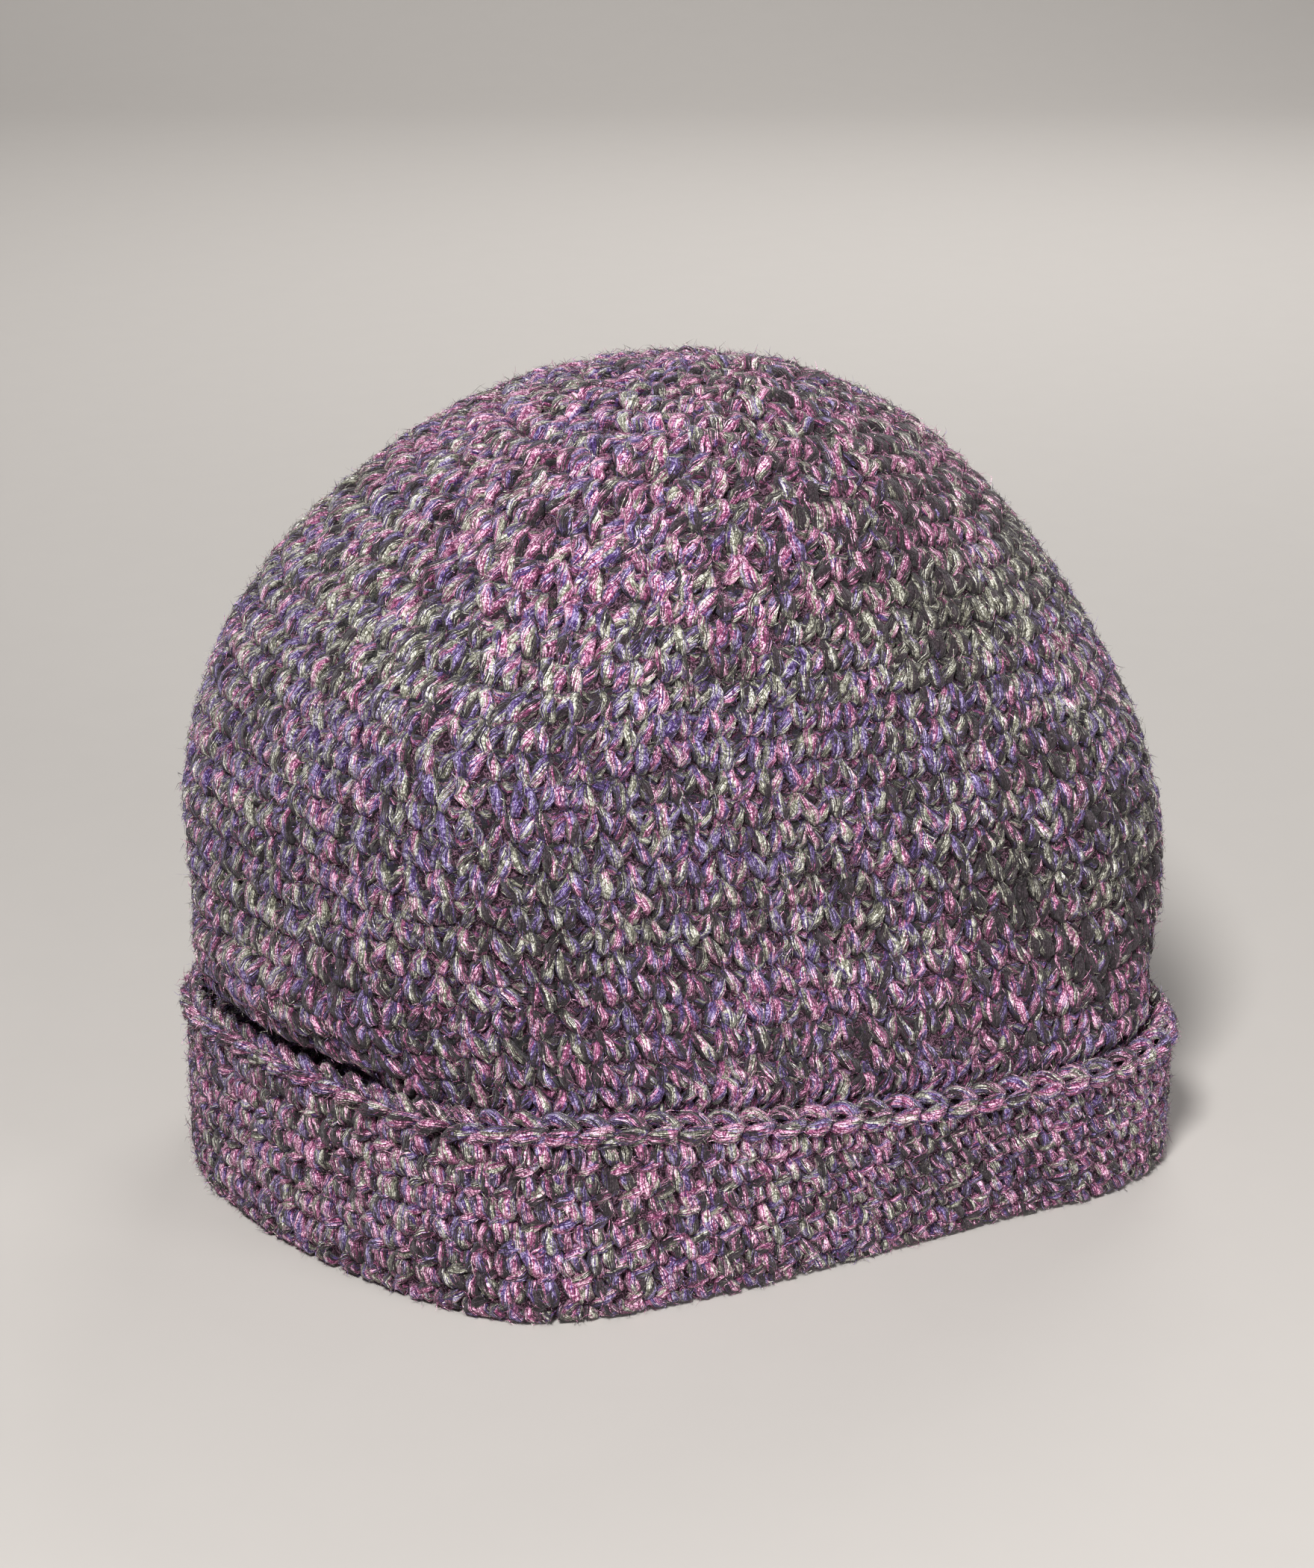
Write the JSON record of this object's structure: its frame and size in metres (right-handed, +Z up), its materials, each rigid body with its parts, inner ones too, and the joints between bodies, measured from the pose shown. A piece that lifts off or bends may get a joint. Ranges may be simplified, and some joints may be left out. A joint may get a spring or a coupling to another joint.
{
  "type": "crocheted beanie",
  "caption": "Slouched crocheted beanie with a rounded hollow crown, a turned-up cuff folded at the rim and a chained edging, resting on its rim.",
  "frame": {"origin": "middle of the hat's plan outline, on the floor that its folded rim rests on", "axes": "+Z up through the crown, +X along the hat's length, -Y out of the flattened front face"},
  "size_m": [0.2022, 0.156, 0.1644],
  "materials": {
    "crown_yarn": "matte marled wool in pink, violet, sage grey and charcoal strands",
    "cuff_yarn": "matte marled wool, the pinker side of the cloth",
    "edging_yarn": "matte marled wool, a chain of loops"
  },
  "bodies": {
    "root": {"crown": "crown_yarn", "cuff": "cuff_yarn", "cuff_edging": "edging_yarn"}
  },
  "joints": []
}
